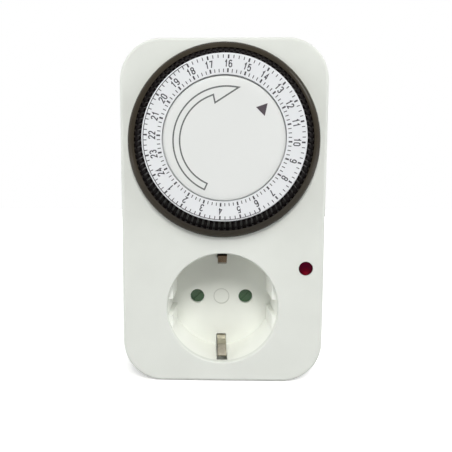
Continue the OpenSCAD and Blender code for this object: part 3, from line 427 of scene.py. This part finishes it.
def line(verts, faces, points, width, h, closed):
    """Adds a printed line along points, mitred at its corners, as a thin solid."""
    n = len(points)
    first = len(verts)
    for i, p in enumerate(points):
        p = Vector(p)
        a = Vector(points[i - 1]) if closed or i else None
        b = Vector(points[(i + 1) % n]) if closed or i < n - 1 else None
        u = (p - a).normalized() if a else (b - p).normalized()
        v = (b - p).normalized() if b else u
        m = Vector((-(u + v).y, (u + v).x)).normalized()
        reach = width / 2 / max(SHARPEST, m.dot(Vector((-u.y, u.x))))
        p, q = p - m * reach, p + m * reach
        verts += [at(*p, h + PRINT), at(*q, h + PRINT), at(*q, h), at(*p, h)]
    for i in range(n if closed else n - 1):
        for j in range(4):
            k, c, d = (j + 1) % 4, first + 4 * i, first + 4 * ((i + 1) % n)
            faces.append([c + j, c + k, d + k, d + j])
    if not closed:
        last = first + 4 * (n - 1)
        faces.append([first + j for j in (3, 2, 1, 0)])
        faces.append([last + j for j in (0, 1, 2, 3)])


DIGIT_R, DIGIT_W, DIGIT_H, DIGIT_GAP, DIGIT_LINE = 23.05, 0.84, 1.96, 0.52, 0.35
verts, faces = [], []
for hour in range(1, 25):
    a = math.radians(hour_angle(hour))
    out, side = Vector((math.cos(a), math.sin(a))), Vector((math.sin(a), -math.cos(a)))
    word = str(hour)
    run = len(word) * DIGIT_W + (len(word) - 1) * DIGIT_GAP
    for i, digit in enumerate(word):
        left = i * (DIGIT_W + DIGIT_GAP) - run / 2
        for stroke in STROKES[digit]:
            points = [Vector(DIAL) + out * (DIGIT_R + (y / 2 - 0.5) * DIGIT_H)
                      + side * (left + x * DIGIT_W) for x, y in stroke]
            line(verts, faces, points, DIGIT_LINE, SCALE_TOP, False)
solid("dial_numbers", verts, faces, ink, "dial")

# Arrow of the turning direction: a band of a ring that ends in a head, drawn as a thin outline.
# Its two arcs share a centre that lies a little to the right of the disc's and below it.
ARROW_SHIFT = (0.62, -0.65)
ARROW_OUT, ARROW_IN, ARROW_LINE = 16.9, 14.8, 0.48
ARROW_HEAD = ((4.5, 15.85), (-2.95, 11.15), (-3.5, 13.65))


def band_point(r, angle):
    a = math.radians(angle)
    return DIAL[0] + ARROW_SHIFT[0] + r * math.sin(a), DIAL[1] + ARROW_SHIFT[1] + r * math.cos(a)


arrow = [band_point(ARROW_OUT, a) for a in range(-156, 10, 4)]
arrow += [(DIAL[0] + x, DIAL[1] + y) for x, y in ARROW_HEAD]
arrow += [band_point(ARROW_IN, a) for a in range(-20, -158, -4)]
verts, faces = [], []
line(verts, faces, arrow, ARROW_LINE, CAP_TOP, True)
solid("direction_arrow", verts, faces, line_ink, "case")

POINTER = ((13.6, 10.95), (10.0, 9.75), (12.75, 7.0))
pointer = [(DIAL[0] + x, DIAL[1] + y) for x, y in POINTER]
plate("time_pointer", [pointer], CAP_TOP, mark_ink, "case")

# Rounded face of the skirt, over the plainer one of the solid
SKIRT_IN, SKIRT_OUT, SKIRT_LOW, SKIRT_TOP = 29.78, 32.25, 0.45, 2.55
SKIRT_WALL, SKIRT_FOOT = 0.9, 0.2
TURNS, STEPS = 192, 12
profile = [(SKIRT_IN, SKIRT_TOP - SKIRT_WALL)]
for i in range(STEPS + 1):
    a = math.pi / 2 * i / STEPS
    profile.append((SKIRT_IN + (SKIRT_OUT - SKIRT_IN) * math.sin(a),
                    SKIRT_LOW + (SKIRT_TOP - SKIRT_LOW) * math.cos(a)))
profile.append((SKIRT_OUT - SKIRT_FOOT, SKIRT_LOW))
verts = [at(*polar(r, 360 * t / TURNS), h) for t in range(TURNS) for r, h in profile]
faces = []
m = len(profile)
for t in range(TURNS):
    for i in range(m):
        a, b, c = t * m, (t + 1) % TURNS * m, (i + 1) % m
        faces.append([a + i, a + c, b + c, b + i])
skirt = solid("dial_skirt", verts, faces, looks["dial"], "dial")
skirt.data.shade_smooth()
skirt.data.set_sharp_from_angle(angle=math.radians(40))

# ---- Stage ----

FLOOR_HALF = 2.0
FLOOR_PALE = ((0.86, 0.86, 0.85, 1), (0.9, 0.9, 0.89, 1))
FLOOR_DULL = (0.35, 0.35, 0.35, 1)
# The floor's glow rises from its first strength to its second between two distances in metres
GLOW = {"From Min": 0.12, "From Max": 0.7, "To Min": 0.35, "To Max": 0.95}

low = cad_box[0].z
edge = FLOOR_HALF
floor_mesh = bpy.data.meshes.new("floor")
floor_mesh.from_pydata([(-edge, -edge, low), (edge, -edge, low), (edge, edge, low),
                        (-edge, edge, low)], [], [(0, 1, 2, 3)])
floor = bpy.data.objects.new("floor", floor_mesh)
scene.collection.objects.link(floor)
f = Nodes("floor_pale")
f.set(Base_Color=f.ramp(f.noise(60), (0.0, FLOOR_PALE[0]), (1.0, FLOOR_PALE[1])), Roughness=0.9)
away = f.tree.nodes.new("ShaderNodeVectorMath")
away.operation = "LENGTH"
f.put(away.inputs[0], f.place)
rise = f.add("ShaderNodeMapRange", Value=away.outputs["Value"])
for key, value in GLOW.items():
    rise.inputs[key].default_value = value
glow = f.add("ShaderNodeEmission", Color=(1, 1, 1, 1), Strength=rise.outputs[0])
both = f.add("ShaderNodeAddShader")
f.put(both.inputs[0], f.bsdf.outputs[0])
f.put(both.inputs[1], glow.outputs[0])
path = f.add("ShaderNodeLightPath")
# The eye and glossy faces meet the pale floor; other rays meet a dull one that adds little light
direct = f.math("MAXIMUM", path.outputs["Is Camera Ray"], path.outputs["Is Glossy Ray"])
pick = f.add("ShaderNodeMixShader", Fac=direct)
dull = f.add("ShaderNodeBsdfDiffuse", Color=FLOOR_DULL)
f.put(pick.inputs[1], dull.outputs[0])
f.put(pick.inputs[2], both.outputs[0])
f.put(f.tree.nodes["Material Output"].inputs[0], pick.outputs[0])
floor_mesh.materials.append(f.mat)

world = bpy.data.worlds.new("studio")
scene.world = world
world.use_nodes = True
sky = world.node_tree
sky.nodes.clear()
fill = sky.nodes.new("ShaderNodeBackground")
fill.inputs["Color"].default_value = (0.96, 0.98, 1.0, 1)
fill.inputs["Strength"].default_value = 0.05
white = sky.nodes.new("ShaderNodeBackground")
white.inputs["Color"].default_value = (1, 1, 1, 1)
ray = sky.nodes.new("ShaderNodeLightPath")
shown = ray.outputs["Is Camera Ray"]
for kind in ("Is Glossy Ray", "Is Transmission Ray"):
    either = sky.nodes.new("ShaderNodeMath")
    either.operation = "MAXIMUM"
    sky.links.new(shown, either.inputs[0])
    sky.links.new(ray.outputs[kind], either.inputs[1])
    shown = either.outputs[0]
mix = sky.nodes.new("ShaderNodeMixShader")
sky.links.new(shown, mix.inputs[0])
sky.links.new(fill.outputs[0], mix.inputs[1])
sky.links.new(white.outputs[0], mix.inputs[2])
sky.links.new(mix.outputs[0], sky.nodes.new("ShaderNodeOutputWorld").inputs[0])


def lamp(name, place, target, size, power, colour=(1, 1, 1)):
    data = bpy.data.lights.new(name, "AREA")
    data.shape = "DISK"
    data.size = size
    data.energy = power
    data.color = colour
    obj = bpy.data.objects.new(name, data)
    obj.location = place
    obj.rotation_mode = "QUATERNION"
    obj.rotation_quaternion = (Vector(target) - Vector(place)).to_track_quat("-Z", "Y")
    scene.collection.objects.link(obj)
    return obj


BODY_MIDDLE = (0, FACE_Y / 1000, 0.033)
DIAL_MIDDLE = (0, FACE_Y / 1000, DIAL[1] / 1000)
COOL = (0.97, 0.97, 1.0)
# These light the surfaces but aren't seen in them, which no real lamp does: it keeps their glare
# off the pale dial at a slant
for name, place, size, power, colour in (("key", (0.0, -1.2, 1.2), 0.75, 21.6, (1.0, 0.995, 0.985)),
                                         ("left", (-1.0, -0.45, 0.15), 0.6, 6.4, COOL),
                                         ("right", (1.0, -0.45, 0.25), 0.6, 5.3, COOL)):
    lamp(name, place, BODY_MIDDLE, size, power, colour).visible_glossy = False
# Weak ones, seen in glossy faces alone, which no real lamp is: they give the skirt its highlights
for name, place, size, power in (("glint_high", (0.73, -0.6, 0.67), 0.3, 1.6),
                                 ("glint_left", (-0.9, -0.55, 0.0), 0.3, 0.4),
                                 ("glint_right", (0.9, -0.55, 0.0), 0.3, 0.4)):
    lamp(name, place, DIAL_MIDDLE, size, power).visible_diffuse = False
# An ordinary lamp for the back
lamp("back", (0.35, 1.1, 0.3), BODY_MIDDLE, 0.8, 10.5)

# ---- Camera ----

# Fitted to the photograph: focal length in pixels of its frame, turns in radians about x, y and z,
# and the eye's place from a point of the face frame, in millimetres
FRAME_PX, FOCAL_PX = 452, 374.54
SENSOR_MM = 36
TURN_X, TURN_Y, TURN_Z = 0.0850, -0.0192, -0.0024
AIM, DISTANCE = (-5.87, 27.61, 0), 128.59
# The picture's shift, in widths of the frame, and the nearest thing seen, in metres
SHIFT_X, SHIFT_Y, NEAR_CLIP = 0.0445, 0.0091, 0.005

cam = bpy.data.cameras.new("camera")
cam.sensor_width = SENSOR_MM
cam.lens = SENSOR_MM * FOCAL_PX / FRAME_PX
cam.shift_x = SHIFT_X
cam.shift_y = SHIFT_Y
cam.clip_start = NEAR_CLIP
camera = bpy.data.objects.new("camera", cam)
scene.collection.objects.link(camera)
scene.camera = camera
turn = (Matrix.Rotation(TURN_Z, 3, "Z") @ Matrix.Rotation(TURN_X, 3, "X")
        @ Matrix.Rotation(TURN_Y, 3, "Y"))
eye = Vector(AIM) + turn[2] * DISTANCE
pose = Matrix.Identity(4)
for col in range(3):
    # From the face frame's x, y, h to the row frame's x, y, z
    axis = Vector((turn[col][0], -turn[col][2], turn[col][1]))
    for row in range(3):
        pose[row][col] = axis[row]
place = at(*eye)
for row in range(3):
    pose[row][3] = place[row]
camera.matrix_world = pose

scene.view_settings.view_transform = "Standard"
